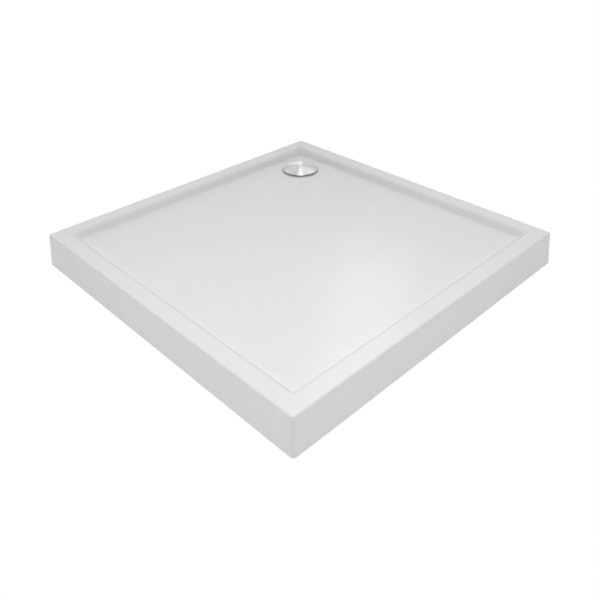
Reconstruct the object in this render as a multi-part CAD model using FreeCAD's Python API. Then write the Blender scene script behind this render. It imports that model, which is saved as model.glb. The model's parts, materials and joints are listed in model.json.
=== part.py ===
import FreeCAD, Part
import math
import os

# Square shower tray with a closed apron, its timber and steel underframe, five screw legs and a
# low waste trap. Millimetres. The origin is at the middle of the tray's base and +Z is up. The
# floor falls along the diagonal to the waste in the +X +Y corner. "Front" is the corner opposite
# the waste, "left" the -X +Y corner and "right" the +X -Y corner.

V = FreeCAD.Vector
UP = V(0, 0, 1)
PAST = 1.0  # how far a cutting shape runs past what it cuts
EDGE = 1.0  # small chamfers on turned pieces
SAME = 0.01  # heights nearer than this are one height

# Acrylic moulding
TRAY_SIDE = 900.0  # across the apron's bottom edge
TRAY_HEIGHT = 86.0
APRON_LEAN = 7.0  # each side leans in by this from the bottom edge to the rim
CORNER_R = 8.0
RIM_EDGE_R = 4.0
RIM_WIDTH = 45.5
LIP_R = 4.0  # rounding where the rim turns down into the basin
WALL_LEAN = 0.2  # the basin's walls lean in by this much for each unit of depth
BASIN_CORNER_R = 8.0
FLOOR_FILLET = 3.0
FRONT_DEPTH = 14.5  # of the floor below the rim, in the corner furthest from the waste
WASTE_DEPTH = 22.5  # of the floor below the rim, in the corner beyond the waste
ACRYLIC = 4.0

# Laminate sprayed on the moulding's back
LAMINATE = 3.0
LAMINATE_EDGE_Z = 15.0  # it stops this high above the apron's bottom edge
LAMINATE_CORNER_R = 1.0

# Waste opening in the floor, sized by the neck that passes through it
WASTE_INSET = 142.0  # from the tray's two sides to the waste's axis
NECK_R = 43.0
HOLE_GAP = 2.0
RING_FLANGE = 7.0
SEAT_GAP = 4.0
SEAT_SINK = 3.0
SEAT_EDGE_R = 1.0

# Floor board under the laminate, with a bay cut out round the trap
BOARD = 12.0
BOARD_MARGIN = 30.0  # from the basin's wall to the board's edge
BAY_FORE = 84.0  # from the outlet's end to the bay's edge
BAY_ASIDE = 11.5  # from the waste seat's laminate to the bay's edge
ROD_HOLE_GAP = 2.0

# Timber battens under the rim
BATTEN_WIDTH = 30.0
BATTEN_HEIGHT = 18.0
BUTT_GAP = 0.3

# Legs
LEG_INSET = 80.0  # from the board's edges to the three corner legs
BACK_LEG_STEP = 50.0  # from the bay's edge to the leg that stands before the trap
BRACKET_LENGTH = 86.0
BRACKET_WIDTH = 40.0
BRACKET_SHEET = 2.5
BRACKET_WEB = 52.0
BEND_R = 1.5  # inside the bracket's bends
WEB_Z = 24.0
ROD_R = 5.0
WEB_HOLE_GAP = 0.5
ROD_TOP_GAP = 1.8  # between the rods and the lowest laminate above them
PAD_R = 22.5
PAD_RIM = 3.0
PAD_SHOULDER = 8.0
PAD_HEIGHT = 10.0
PAD_WALL = 4.0  # round the rod's socket
PAD_SOCKET = 6.0
NUT_FLATS = 16.0
NUT_HEIGHT = 8.0
THREAD_GAP = 0.05
SCREW_R = 2.0
SCREW_HEAD_R = 4.0
SCREW_HEAD = 2.2
SCREW_BITE = 9.0
SCREW_GAP = 0.05
SCREW_EDGE = 9.0  # from the bracket's ends to its screws
SCREW_STEP = 22.0

# Waste ring, gaskets and trap
RING = 2.0
RING_GASKET = 1.0
COLLAR_GASKET = 3.0
GASKET_INSET = 1.0  # between a gasket's edges and the hole's or flange's
COLLAR_GRIP = 14.0  # from the hole's edge to the collar's
COLLAR = 6.0
COLLAR_SLOPE = 3.0
NECK_WALL = 4.0
NECK_ENGAGED = 6.5
LEDGE_DROP = 10.0  # from the ring's top to the ledge that carries the seal cup
LEDGE = 2.5
TRAP_WIDER = 5.0  # than the neck
TRAP_WALL = 3.0
TRAP_EDGE = 2.0
TRAP_DEPTH = 46.5  # from the collar's top to the trap's underside
WEIR_RACE = 8.5  # between the weir and the trap's wall
WEIR_WALL = 2.5
WEIR_HEIGHT = 25.0
RUN_GAP = 0.3

# Seal cup and its ring
CUP_RIM_DROP = 2.0
CUP_WALL = 2.2
CUP_TUBE_R = 25.5
CUP_DIP = 4.5  # between the dip tube's end and the trap's floor
HUB_R = 6.5
HUB_HEIGHT = 10.0
ARM = 2.4
ARM_HEIGHT = 6.0
O_RING_R = 1.3
O_RING_GAP = 0.05
STEM_R = 3.5
STEM_GAP = 0.1

# Metal cover
COVER_R = 53.0
COVER_CROWN = 8.0
COVER_SHEET = 1.6
COVER_SKIRT = 1.5
COVER_GAP = 4.2  # between the waste ring and the cover's edge
CARRIER_R = 20.0
CARRIER = 2.4
COLUMN_R = 6.0

# Outlet
SOCKET_HEADROOM = 1.0  # between the outlet's socket and the laminate over it
BALL_R = 21.5
BALL_GAP = 0.3
BALL_TAIL = 14.0
SOCKET_RIM = 2.0
SOCKET_BORE_R = 14.0
SOCKET_END = 7.0  # from the ball's centre back to the socket's end
UNION_WALL = 2.2
UNION_TAIL = 16.0
UNION_GAP = 1.5  # between the nut and the waste seat's laminate
UNION_NOSE = 13.5
UNION_SLOPE = 4.0
UNION_LIP_GAP = 2.0  # round the neck, for the swivel
UNION_FLUTES = 16
FLUTE_R = 1.6
SEAL = 4.0
SEAL_GAP = 0.5
OUTLET_NECK_R = 14.5
OUTLET_WALL = 2.5
SPIGOT_R = 20.0
SPIGOT_START = 18.0
SPIGOT_LENGTH = 72.0
SPIGOT_CHAMFER = 2.0

# Places worked out from the sizes above
LAYERS = ACRYLIC + LAMINATE
BASIN_HALF = TRAY_SIDE / 2 - APRON_LEAN - RIM_WIDTH
FALL = (WASTE_DEPTH - FRONT_DEPTH) / (4 * BASIN_HALF)
WASTE = TRAY_SIDE / 2 - WASTE_INSET
HOLE_R = NECK_R + HOLE_GAP
RING_R = HOLE_R + RING_FLANGE
SEAT_R = RING_R + SEAT_GAP
COLLAR_R = HOLE_R + COLLAR_GRIP
TRAP_R = NECK_R + TRAP_WIDER
WEIR_R = TRAP_R - TRAP_WALL - WEIR_RACE
SOCKET_R = BALL_R + SOCKET_RIM
UNION_R = SOCKET_R + RUN_GAP + UNION_WALL
BALL_REACH = SEAT_R + LAYERS + UNION_GAP + UNION_TAIL
SPIGOT_END = SPIGOT_START + SPIGOT_LENGTH
BALL_X = WASTE - BALL_REACH
BOARD_HALF = BASIN_HALF - BOARD_MARGIN
BAY_X = BALL_X - SPIGOT_END - BAY_FORE
BAY_Y = WASTE - SEAT_R - LAYERS - BAY_ASIDE
LEG_REACH = BOARD_HALF - LEG_INSET
BACK_LEG = BAY_Y - BACK_LEG_STEP
LEGS = {
    "front": (-LEG_REACH, -LEG_REACH),
    "left": (-LEG_REACH, LEG_REACH),
    "right": (LEG_REACH, -LEG_REACH),
    "centre": (0.0, 0.0),
    "back": (BACK_LEG, BACK_LEG),
}


def floor_z(x, y, drop=0.0):
    """Height of the floor's plane, or of the plane a drop below it."""
    middle = TRAY_HEIGHT - (FRONT_DEPTH + WASTE_DEPTH) / 2
    return middle - FALL * (x + y) - drop


SEAT_Z = floor_z(WASTE, WASTE) - SEAT_SINK
RING_TOP = SEAT_Z + RING_GASKET + RING
LEDGE_Z = RING_TOP - LEDGE_DROP
COLLAR_TOP = SEAT_Z - LAYERS - COLLAR_GASKET
TRAP_FLOOR = COLLAR_TOP - TRAP_DEPTH + TRAP_WALL
OUTLET_Z = SEAT_Z - LAYERS - SOCKET_HEADROOM - SOCKET_R
HUB_TOP = RING_TOP - CUP_RIM_DROP
COVER_EDGE_Z = RING_TOP + COVER_GAP


def save(name, shape):
    """Writes one named piece."""
    shape.exportStep("parts/" + name + ".step")


def box(low, high):
    """A block between two opposite corners."""
    return Part.makeBox(high[0] - low[0], high[1] - low[1], high[2] - low[2], V(*low))


def rod(radius, z_low, z_high, x=0.0, y=0.0):
    """An upright cylinder."""
    return Part.makeCylinder(radius, z_high - z_low, V(x, y, z_low))


def turned(outline, x=0.0, y=0.0):
    """A closed outline of (radius, height) points spun round an upright axis."""
    points = [V(x + r, y, z) for r, z in outline]
    face = Part.Face(Part.makePolygon(points + points[:1]))
    return face.revolve(V(x, y, 0), UP, 360)


def turned_outlet(outline):
    """A closed outline of (radius, distance from the ball's centre) points spun round the outlet's axis."""
    points = [V(BALL_X - reach, WASTE, OUTLET_Z + r) for r, reach in outline]
    face = Part.Face(Part.makePolygon(points + points[:1]))
    return face.revolve(V(BALL_X, WASTE, OUTLET_Z), V(1, 0, 0), 360)


def outlet_rod(radius, reach_low, reach_high):
    """A cylinder along the outlet's axis, between two distances from the ball's centre."""
    start = V(BALL_X - reach_high, WASTE, OUTLET_Z)
    return Part.makeCylinder(radius, reach_high - reach_low, start, V(1, 0, 0))


def frustum(half_low, half_high, z_low, z_high):
    """A square block between two heights whose four flat sides lean."""
    block = Part.makeWedge(
        -half_low, z_low, -half_low, -half_high, -half_high,
        half_low, z_high, half_low, half_high, half_high,
    )
    block.rotate(V(0, 0, 0), V(1, 0, 0), 90)
    return block


def rounded_uprights(block, radius):
    """The block with the edges at its four corners rounded."""
    uprights = [e for e in block.Edges if e.BoundBox.ZLength > PAST]
    return block.makeFillet(radius, uprights)


def rim_edges(shape, half_low, half_high):
    """Edges at the rim's height that lie between two squares."""
    found = []
    for edge in shape.Edges:
        bounds = edge.BoundBox
        reach = max(bounds.XMax, bounds.YMax, -bounds.XMin, -bounds.YMin)
        if bounds.ZMin > TRAY_HEIGHT - SAME and half_low < reach < half_high:
            found.append(edge)
    return found


def under_floor(drop):
    """All the space below the floor's plane lowered by a drop."""
    reach = TRAY_SIDE
    square = ((-reach, -reach), (reach, -reach), (reach, reach), (-reach, reach))
    points = [V(x, y, floor_z(x, y, drop)) for x, y in square]
    sheet = Part.Face(Part.makePolygon(points + points[:1]))
    return sheet.extrude(UP * -TRAY_SIDE)


def basin(spread):
    """The hollow that holds the water, with its walls and floor moved outwards by a spread."""
    z_low = TRAY_HEIGHT - 2 * WASTE_DEPTH
    z_high = TRAY_HEIGHT + WASTE_DEPTH
    halves = [BASIN_HALF + spread - WALL_LEAN * (TRAY_HEIGHT - z) for z in (z_low, z_high)]
    block = rounded_uprights(frustum(*halves, z_low, z_high), BASIN_CORNER_R + spread)
    hollow = block.cut(under_floor(spread))
    bottom = min(hollow.Faces, key=lambda f: f.CenterOfMass.z)
    hollow = hollow.makeFillet(FLOOR_FILLET + spread, bottom.Edges)
    return hollow.fuse(rod(SEAT_R + spread, SEAT_Z - spread, TRAY_HEIGHT, WASTE, WASTE))


def apron_block(spread, z_low):
    """The tray's outside as a solid block, with its sides and top moved inwards by a spread."""
    z_high = TRAY_HEIGHT - spread
    halves = [TRAY_SIDE / 2 - spread - APRON_LEAN * z / TRAY_HEIGHT for z in (z_low, z_high)]
    return rounded_uprights(frustum(*halves, z_low, z_high), max(CORNER_R - spread, LAMINATE_CORNER_R))


def moulding(spread, z_low):
    """The tray's outside block less its basin."""
    return apron_block(spread, z_low).cut(basin(spread))


def acrylic_shell():
    """The formed sheet, with its rim's edges and the waste seat's edge rounded."""
    solid = moulding(0, 0)
    rim_middle = BASIN_HALF + RIM_WIDTH / 2
    solid = solid.makeFillet(LIP_R, rim_edges(solid, 0, rim_middle))
    solid = solid.makeFillet(RIM_EDGE_R, rim_edges(solid, rim_middle, TRAY_SIDE))
    solid = solid.makeFillet(SEAT_EDGE_R, seat_edges(solid))
    sheet = solid.cut(moulding(ACRYLIC, -TRAY_HEIGHT))
    return sheet.cut(rod(HOLE_R, 0, TRAY_HEIGHT, WASTE, WASTE))


def seat_edges(solid):
    """The edge where the floor drops into the waste's seat."""
    found = []
    for edge in solid.Edges:
        bounds = edge.BoundBox
        aside = max(abs(bounds.Center.x - WASTE), abs(bounds.Center.y - WASTE))
        if aside < EDGE and bounds.XLength > SEAT_R and bounds.ZMin > SEAT_Z + SAME:
            found.append(edge)
    return found


def fibreglass_backing():
    """The laminate on the acrylic's back, cut off level above the apron's bottom edge."""
    sheet = moulding(ACRYLIC, LAMINATE_EDGE_Z).cut(moulding(LAYERS, -TRAY_HEIGHT))
    return sheet.cut(rod(HOLE_R, 0, TRAY_HEIGHT, WASTE, WASTE))


def screw_places():
    """The axes of the wood screws in one bracket, from the bracket's middle."""
    x = BRACKET_LENGTH / 2 - SCREW_EDGE
    y = SCREW_STEP / 2
    return [(sx * x, sy * y) for sx in (-1, 1) for sy in (-1, 1)]


def floor_board():
    """The board bonded under the floor, with the trap's bay, rod holes and screw holes."""
    board = box((-BOARD_HALF, -BOARD_HALF, 0), (BOARD_HALF, BOARD_HALF, TRAY_HEIGHT))
    board = board.common(under_floor(LAYERS)).cut(under_floor(LAYERS + BOARD))
    board = board.cut(box((BAY_X, BAY_Y, 0), (BOARD_HALF, BOARD_HALF, TRAY_HEIGHT)))
    for x, y in LEGS.values():
        board = board.cut(rod(ROD_R + ROD_HOLE_GAP, 0, TRAY_HEIGHT, x, y))
        for dx, dy in screw_places():
            base = board_underside(x, y)
            hole = rod(SCREW_R + SCREW_GAP, base - BOARD, base + SCREW_BITE, x + dx, y + dy)
            board = board.cut(hole)
    return board


def board_underside(x, y):
    """Height of the board's underside at one place."""
    return floor_z(x, y, LAYERS + BOARD)


def rim_battens():
    """Four square-edged battens bonded to the laminate under the rim."""
    top = TRAY_HEIGHT - LAYERS
    low = top - BATTEN_HEIGHT
    wall = BASIN_HALF + LAYERS - WALL_LEAN * LAYERS
    apron = TRAY_SIDE / 2 - LAYERS - APRON_LEAN
    inner = (wall + apron - BATTEN_WIDTH) / 2
    outer = inner + BATTEN_WIDTH
    end = inner - BUTT_GAP
    return {
        "rim_batten_back_left": box((-outer, inner, low), (outer, outer, top)),
        "rim_batten_front_right": box((-outer, -outer, low), (outer, -inner, top)),
        "rim_batten_back_right": box((inner, -end, low), (outer, end, top)),
        "rim_batten_front_left": box((-outer, -end, low), (-inner, end, top)),
    }


def leg_bracket(x, y):
    """A strip bent into a bridge: two tabs on the board, two uprights and a web with the rod's hole."""
    half = BRACKET_LENGTH / 2
    web = BRACKET_WEB / 2
    tab = board_underside(x, y) - BRACKET_SHEET
    top = tab + 2 * BRACKET_SHEET
    inside = web - BRACKET_SHEET
    outline = [
        (-half, tab), (-web, tab), (-web, WEB_Z), (web, WEB_Z), (web, tab), (half, tab), (half, top),
        (inside, top), (inside, WEB_Z + BRACKET_SHEET), (-inside, WEB_Z + BRACKET_SHEET),
        (-inside, top), (-half, top),
    ]
    points = [V(x + dx, y - BRACKET_WIDTH / 2, z) for dx, z in outline]
    strip = Part.Face(Part.makePolygon(points + points[:1])).extrude(V(0, BRACKET_WIDTH, 0))
    strip = strip.common(under_floor(LAYERS + BOARD))
    strip = strip.makeFillet(BEND_R, bends(strip, x, True))
    strip = strip.makeFillet(BEND_R + BRACKET_SHEET, bends(strip, x, False))
    strip = strip.cut(rod(ROD_R + WEB_HOLE_GAP, 0, WEB_Z + 2 * BRACKET_SHEET, x, y))
    for dx, dy in screw_places():
        strip = strip.cut(rod(SCREW_R + SCREW_GAP, tab - PAST, TRAY_HEIGHT, x + dx, y + dy))
    return strip


def bends(strip, x, inside):
    """The edges inside a bracket's four bends, or those outside them."""
    web = BRACKET_WEB / 2
    found = []
    for edge in strip.Edges:
        bounds = edge.BoundBox
        reach = abs(bounds.Center.x - x)
        low = bounds.Center.z < WEB_Z + 2 * BRACKET_SHEET
        across = bounds.XLength < SAME and bounds.YLength > BRACKET_WIDTH - SAME
        if across and min(abs(reach - web), abs(reach - web + BRACKET_SHEET)) < SAME:
            if (reach > web - SAME) == (low != inside):
                found.append(edge)
    return found


def wood_screw(x, y, tab):
    """A round-headed screw from under a bracket's tab up into the board."""
    under = tab - SCREW_HEAD
    head = turned([(0, under), (SCREW_HEAD_R - EDGE, under), (SCREW_HEAD_R, tab - EDGE),
                   (SCREW_HEAD_R, tab), (0, tab)], x, y)
    tip = tab + BRACKET_SHEET + SCREW_BITE - EDGE
    shank = turned([(0, tab), (SCREW_R, tab), (SCREW_R, tip - 2 * SCREW_R), (0, tip)], x, y)
    return head.fuse(shank)


def bracket_screws():
    """Every bracket's screws, as separate solids."""
    screws = []
    for x, y in LEGS.values():
        tab = board_underside(x, y) - BRACKET_SHEET
        screws += [wood_screw(x + dx, y + dy, tab) for dx, dy in screw_places()]
    return Part.makeCompound(screws)


def leg_rod(x, y):
    """A leg's threaded rod, with chamfered ends, standing in its pad's socket."""
    low = PAD_HEIGHT - PAD_SOCKET
    high = min(floor_z(lx, ly, LAYERS) for lx, ly in LEGS.values()) - ROD_TOP_GAP
    tip = ROD_R - EDGE
    outline = [(0, low), (tip, low), (ROD_R, low + EDGE), (ROD_R, high - EDGE), (tip, high), (0, high)]
    return turned(outline, x, y)


def foot_pad(x, y):
    """A round plastic foot with a sloping top and a blind socket for the rod."""
    neck = ROD_R + PAD_WALL
    slope = PAD_HEIGHT - PAD_SHOULDER
    outline = [(0, 0), (PAD_R - EDGE, 0), (PAD_R, EDGE), (PAD_R, PAD_RIM), (neck + slope, PAD_SHOULDER),
               (neck, PAD_HEIGHT), (0, PAD_HEIGHT)]
    pad = turned(outline, x, y)
    return pad.cut(rod(ROD_R + THREAD_GAP, PAD_HEIGHT - PAD_SOCKET, PAD_HEIGHT + PAST, x, y))


def hexagon_nut(x, y, z):
    """A hexagon nut with chamfered corners, round the leg's rod."""
    corner = NUT_FLATS / math.sqrt(3)
    points = [V(x + corner * math.cos(a), y + corner * math.sin(a), z)
              for a in [math.radians(60 * i) for i in range(7)]]
    prism = Part.Face(Part.makePolygon(points)).extrude(V(0, 0, NUT_HEIGHT))
    flat = NUT_FLATS / 2
    drop = (corner - flat) / 2
    outline = [(0, z), (flat, z), (corner, z + drop), (corner, z + NUT_HEIGHT - drop),
               (flat, z + NUT_HEIGHT), (0, z + NUT_HEIGHT)]
    nut = prism.common(turned(outline, x, y))
    return nut.cut(rod(ROD_R + THREAD_GAP, z - PAST, z + NUT_HEIGHT + PAST, x, y))


def flange_ring():
    """The waste's ring, with its neck down through the floor and a ledge inside for the seal cup."""
    bore = NECK_R - NECK_WALL
    foot = COLLAR_TOP - NECK_ENGAGED
    outline = [
        (bore + EDGE, RING_TOP), (RING_R - EDGE, RING_TOP), (RING_R, RING_TOP - EDGE),
        (RING_R, RING_TOP - RING), (NECK_R, RING_TOP - RING), (NECK_R, foot), (bore - LEDGE, foot),
        (bore - LEDGE, LEDGE_Z),
        (bore, LEDGE_Z), (bore, RING_TOP - EDGE),
    ]
    return turned(outline, WASTE, WASTE)


def washer(inner, outer, z_low, z_high):
    """A flat ring on the waste's axis."""
    return rod(outer, z_low, z_high, WASTE, WASTE).cut(rod(inner, z_low - PAST, z_high + PAST, WASTE, WASTE))


def trap_body():
    """The low trap: collar, cup-shaped body, the weir wall inside it and the outlet's socket."""
    under = TRAP_FLOOR - TRAP_WALL
    inner = TRAP_R - TRAP_WALL
    bore = NECK_R + RUN_GAP
    shoulder = COLLAR_TOP - COLLAR
    weir_top = TRAP_FLOOR + WEIR_HEIGHT
    outline = [
        (0, under), (TRAP_R - TRAP_EDGE, under), (TRAP_R, under + TRAP_EDGE),
        (TRAP_R, shoulder - COLLAR_SLOPE), (COLLAR_R, shoulder), (COLLAR_R, COLLAR_TOP),
        (bore, COLLAR_TOP), (bore, shoulder - EDGE), (inner, shoulder - COLLAR_SLOPE),
        (inner, TRAP_FLOOR), (WEIR_R, TRAP_FLOOR), (WEIR_R, weir_top), (WEIR_R - WEIR_WALL, weir_top),
        (WEIR_R - WEIR_WALL, TRAP_FLOOR), (0, TRAP_FLOOR),
    ]
    body = turned(outline, WASTE, WASTE)
    socket = outlet_rod(SOCKET_R, -BALL_REACH, -SOCKET_END)
    socket = socket.cut(rod(inner, 0, TRAY_HEIGHT, WASTE, WASTE))
    socket = socket.cut(rod(COLLAR_R + RUN_GAP, COLLAR_TOP, TRAY_HEIGHT, WASTE, WASTE))
    bore_start = BALL_REACH - (WEIR_R + inner) / 2
    body = body.fuse(socket).cut(outlet_rod(SOCKET_BORE_R, -bore_start, 0))
    return body.cut(ball_space())


def ball_space():
    """The sphere that the outlet's ball turns in, with its running gap."""
    return Part.makeSphere(BALL_R + BALL_GAP, V(BALL_X, WASTE, OUTLET_Z), V(1, 0, 0))


def seal_cup():
    """The dip tube, its collar with the sealing ring's groove, and a hub on three arms."""
    outer = NECK_R - NECK_WALL - RUN_GAP
    rim_inner = outer - 2 * CUP_WALL
    tube_inner = CUP_TUBE_R - CUP_WALL
    waist = LEDGE_Z - CUP_WALL
    groove = (HUB_TOP + LEDGE_Z) / 2
    step = O_RING_R + O_RING_GAP
    deep = outer + RUN_GAP - O_RING_GAP - 2 * step
    ledge_inner = NECK_R - NECK_WALL - LEDGE - RUN_GAP
    outline = [
        (CUP_TUBE_R, TRAP_FLOOR + CUP_DIP), (CUP_TUBE_R, waist - CUP_WALL), (ledge_inner, waist),
        (ledge_inner, LEDGE_Z), (outer, LEDGE_Z), (outer, groove - step), (deep, groove - step),
        (deep, groove + step), (outer, groove + step), (outer, HUB_TOP), (rim_inner, HUB_TOP),
        (rim_inner - EDGE, LEDGE_Z), (tube_inner, waist - 2 * CUP_WALL), (tube_inner, TRAP_FLOOR + CUP_DIP),
    ]
    cup = turned(outline, WASTE, WASTE)
    cup = cup.fuse(rod(HUB_R, HUB_TOP - HUB_HEIGHT, HUB_TOP, WASTE, WASTE))
    for i in range(3):
        arm = box((0, -ARM / 2, LEDGE_Z), (rim_inner, ARM / 2, LEDGE_Z + ARM_HEIGHT))
        arm.rotate(V(0, 0, 0), UP, 120 * i)
        arm.translate(V(WASTE, WASTE, 0))
        cup = cup.fuse(arm)
    return cup.cut(rod(STEM_R + STEM_GAP, 0, HUB_TOP + PAST, WASTE, WASTE))


def cup_o_ring():
    """The round-section ring in the cup's groove."""
    centre = NECK_R - NECK_WALL - O_RING_GAP - O_RING_R
    return Part.makeTorus(centre, O_RING_R, V(WASTE, WASTE, (HUB_TOP + LEDGE_Z) / 2))


def cap_radius():
    """Radius of the sphere that the cover's top is part of."""
    reach = COVER_R - COVER_SHEET / 2
    return (reach ** 2 + COVER_CROWN ** 2) / (2 * COVER_CROWN)


def cap_block(inset):
    """The cover's outside as a solid: a low dome on a short skirt, moved inwards by an inset."""
    spring = COVER_EDGE_Z + COVER_SKIRT
    centre = V(WASTE, WASTE, spring + COVER_CROWN - cap_radius())
    ball = Part.makeSphere(cap_radius() - inset, centre)
    return ball.common(rod(COVER_R - inset, COVER_EDGE_Z, spring + COVER_CROWN, WASTE, WASTE))


def waste_cover():
    """The pressed metal cap, hollow underneath, with its outer edge rounded over."""
    block = cap_block(0)
    edge = [e for e in block.Edges if e.BoundBox.ZMin > COVER_EDGE_Z + EDGE and e.BoundBox.XLength > COVER_R]
    return block.makeFillet(COVER_SHEET, edge).cut(cap_block(COVER_SHEET))


def cover_carrier():
    """The plastic stem under the cap: a disc against the dome, a column and a pin for the cup's hub."""
    spring = COVER_EDGE_Z + COVER_SKIRT
    disc_z = spring - CARRIER
    disc = rod(CARRIER_R, disc_z, spring + COVER_CROWN, WASTE, WASTE)
    carrier = disc.common(cap_block(COVER_SHEET))
    carrier = carrier.cut(rod(CARRIER_R - CARRIER, disc_z - PAST, spring, WASTE, WASTE))
    carrier = carrier.fuse(rod(COLUMN_R, HUB_TOP, spring + PAST, WASTE, WASTE))
    return carrier.fuse(rod(STEM_R, HUB_TOP - HUB_HEIGHT + EDGE, HUB_TOP, WASTE, WASTE))


def outlet_union_nut():
    """The nut on the trap's socket, whose round lip holds the ball in."""
    bore = SOCKET_R + RUN_GAP
    shoulder = SEAL - SOCKET_END
    lip = OUTLET_NECK_R + UNION_LIP_GAP
    slope = UNION_NOSE - UNION_SLOPE
    outline = [
        (bore, -UNION_TAIL), (UNION_R - EDGE, -UNION_TAIL), (UNION_R, EDGE - UNION_TAIL), (UNION_R, slope),
        (UNION_R - UNION_SLOPE, UNION_NOSE), (lip, UNION_NOSE), (lip, shoulder), (bore, shoulder),
    ]
    nut = turned_outlet(outline).cut(ball_space())
    for i in range(UNION_FLUTES):
        flute = outlet_rod(FLUTE_R, -UNION_TAIL - PAST, slope)
        flute.translate(V(0, 0, UNION_R + FLUTE_R / 2))
        flute.rotate(V(BALL_X, WASTE, OUTLET_Z), V(1, 0, 0), 360.0 * (i + 0.5) / UNION_FLUTES)
        nut = nut.cut(flute)
    return nut


def outlet_seal():
    """The ring squeezed between the socket's end and the nut's shoulder, round the ball."""
    inner = BALL_R + SEAL_GAP
    low = -SOCKET_END
    return turned_outlet([(inner, low), (SOCKET_R, low), (SOCKET_R, low + SEAL), (inner, low + SEAL)])


def outlet_adaptor():
    """The ball, a narrow neck that lets it swivel, and a spigot for the waste pipe."""
    ball = Part.makeSphere(BALL_R, V(BALL_X, WASTE, OUTLET_Z), V(1, 0, 0))
    ball = ball.common(outlet_rod(2 * BALL_R, -BALL_TAIL, 2 * BALL_R))
    bore = OUTLET_NECK_R - OUTLET_WALL
    wide_bore = SPIGOT_R - OUTLET_WALL
    step = SPIGOT_START + wide_bore - bore
    outside = [(0, 0), (OUTLET_NECK_R, 0), (OUTLET_NECK_R, SPIGOT_START - SPIGOT_CHAMFER),
               (SPIGOT_R, SPIGOT_START), (SPIGOT_R, SPIGOT_END - EDGE), (SPIGOT_R - EDGE, SPIGOT_END),
               (0, SPIGOT_END)]
    inside = [(0, -BALL_R), (bore, -BALL_R), (bore, SPIGOT_START), (wide_bore, step),
              (wide_bore, SPIGOT_END + PAST), (0, SPIGOT_END + PAST)]
    return ball.fuse(turned_outlet(outside)).cut(turned_outlet(inside))


def main():
    os.makedirs("parts", exist_ok=True)
    save("acrylic_shell", acrylic_shell())
    save("fibreglass_backing", fibreglass_backing())
    save("floor_board", floor_board())
    for name, batten in rim_battens().items():
        save(name, batten)
    for name, (x, y) in LEGS.items():
        save("leg_bracket_" + name, leg_bracket(x, y))
        save("leg_rod_" + name, leg_rod(x, y))
        save("foot_pad_" + name, foot_pad(x, y))
        save("adjusting_nut_" + name, hexagon_nut(x, y, WEB_Z - NUT_HEIGHT))
        save("lock_nut_" + name, hexagon_nut(x, y, WEB_Z + BRACKET_SHEET))
    save("bracket_screws", bracket_screws())
    save("flange_ring", flange_ring())
    inner = HOLE_R + GASKET_INSET
    save("flange_gasket", washer(inner, RING_R - GASKET_INSET, SEAT_Z, SEAT_Z + RING_GASKET))
    save("collar_gasket", washer(inner, COLLAR_R - GASKET_INSET, COLLAR_TOP, COLLAR_TOP + COLLAR_GASKET))
    save("trap_body", trap_body())
    save("seal_cup", seal_cup())
    save("cup_o_ring", cup_o_ring())
    save("waste_cover", waste_cover())
    save("cover_carrier", cover_carrier())
    save("outlet_union_nut", outlet_union_nut())
    save("outlet_seal", outlet_seal())
    save("outlet_adaptor", outlet_adaptor())


main()
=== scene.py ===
import json
import math

import bpy
import numpy as np
from mathutils import Euler, Matrix, Vector


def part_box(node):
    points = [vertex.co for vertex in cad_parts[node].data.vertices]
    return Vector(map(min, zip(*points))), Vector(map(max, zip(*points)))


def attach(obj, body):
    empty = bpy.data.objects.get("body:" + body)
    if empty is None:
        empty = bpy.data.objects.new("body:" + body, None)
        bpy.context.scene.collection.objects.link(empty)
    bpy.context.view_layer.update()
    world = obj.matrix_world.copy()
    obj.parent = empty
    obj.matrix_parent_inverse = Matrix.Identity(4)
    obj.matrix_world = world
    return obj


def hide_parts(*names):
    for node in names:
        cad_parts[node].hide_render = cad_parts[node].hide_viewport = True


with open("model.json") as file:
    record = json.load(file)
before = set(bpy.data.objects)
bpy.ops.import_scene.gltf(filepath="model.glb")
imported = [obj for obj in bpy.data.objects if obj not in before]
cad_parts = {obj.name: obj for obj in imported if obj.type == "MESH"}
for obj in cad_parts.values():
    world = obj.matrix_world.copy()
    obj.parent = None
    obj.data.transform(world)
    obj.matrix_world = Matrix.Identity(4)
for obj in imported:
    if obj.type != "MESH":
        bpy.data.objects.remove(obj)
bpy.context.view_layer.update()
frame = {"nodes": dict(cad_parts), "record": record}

bl_info = {
    "name": "Shower Tray",
    "version": (1, 0, 0),
    "blender": (4, 5, 0),
    "location": "3D View > Sidebar > Shower Tray",
    "description": "Surfaces and finishes for a square shower tray with its legs and waste trap",
    "category": "Object",
}

MM = 0.001
WHITE = (1, 1, 1, 1)
LEGS = ("front", "left", "right", "centre", "back")


def node_box(node):
    """Lowest and highest corner of a packed piece at rest, as arrays in metres."""
    low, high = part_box(node)
    return np.array(low), np.array(high)


def node_middle(node):
    """Middle of a packed piece's box."""
    low, high = node_box(node)
    return (low + high) / 2


TRAY_LOW, TRAY_HIGH = node_box("acrylic_shell")
WASTE = node_middle("flange_ring")
COVER_LOW, COVER_HIGH = node_box("waste_cover")


# ------------------------------------------------
# Sizes and colours that a user would change


def length(name, description, default):
    """A length property in metres."""
    return bpy.props.FloatProperty(name=name, description=description, default=default, min=0.0,
                                   precision=5, subtype="DISTANCE", unit="LENGTH")


def share(name, description, default):
    """A property from 0 to 1."""
    return bpy.props.FloatProperty(name=name, description=description, default=default, min=0.0,
                                   max=1.0, subtype="FACTOR")


def number(name, description, default):
    """A plain number from 0 up."""
    return bpy.props.FloatProperty(name=name, description=description, default=default, min=0.0)


def angle(name, description, degrees):
    """An angle property, given in degrees."""
    return bpy.props.FloatProperty(name=name, description=description,
                                   default=math.radians(degrees), subtype="ANGLE", unit="ROTATION")


def coordinate(name, default):
    """One coordinate of the camera's place."""
    return bpy.props.FloatProperty(name=name, description="Camera's place", default=default,
                                   unit="LENGTH")


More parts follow.
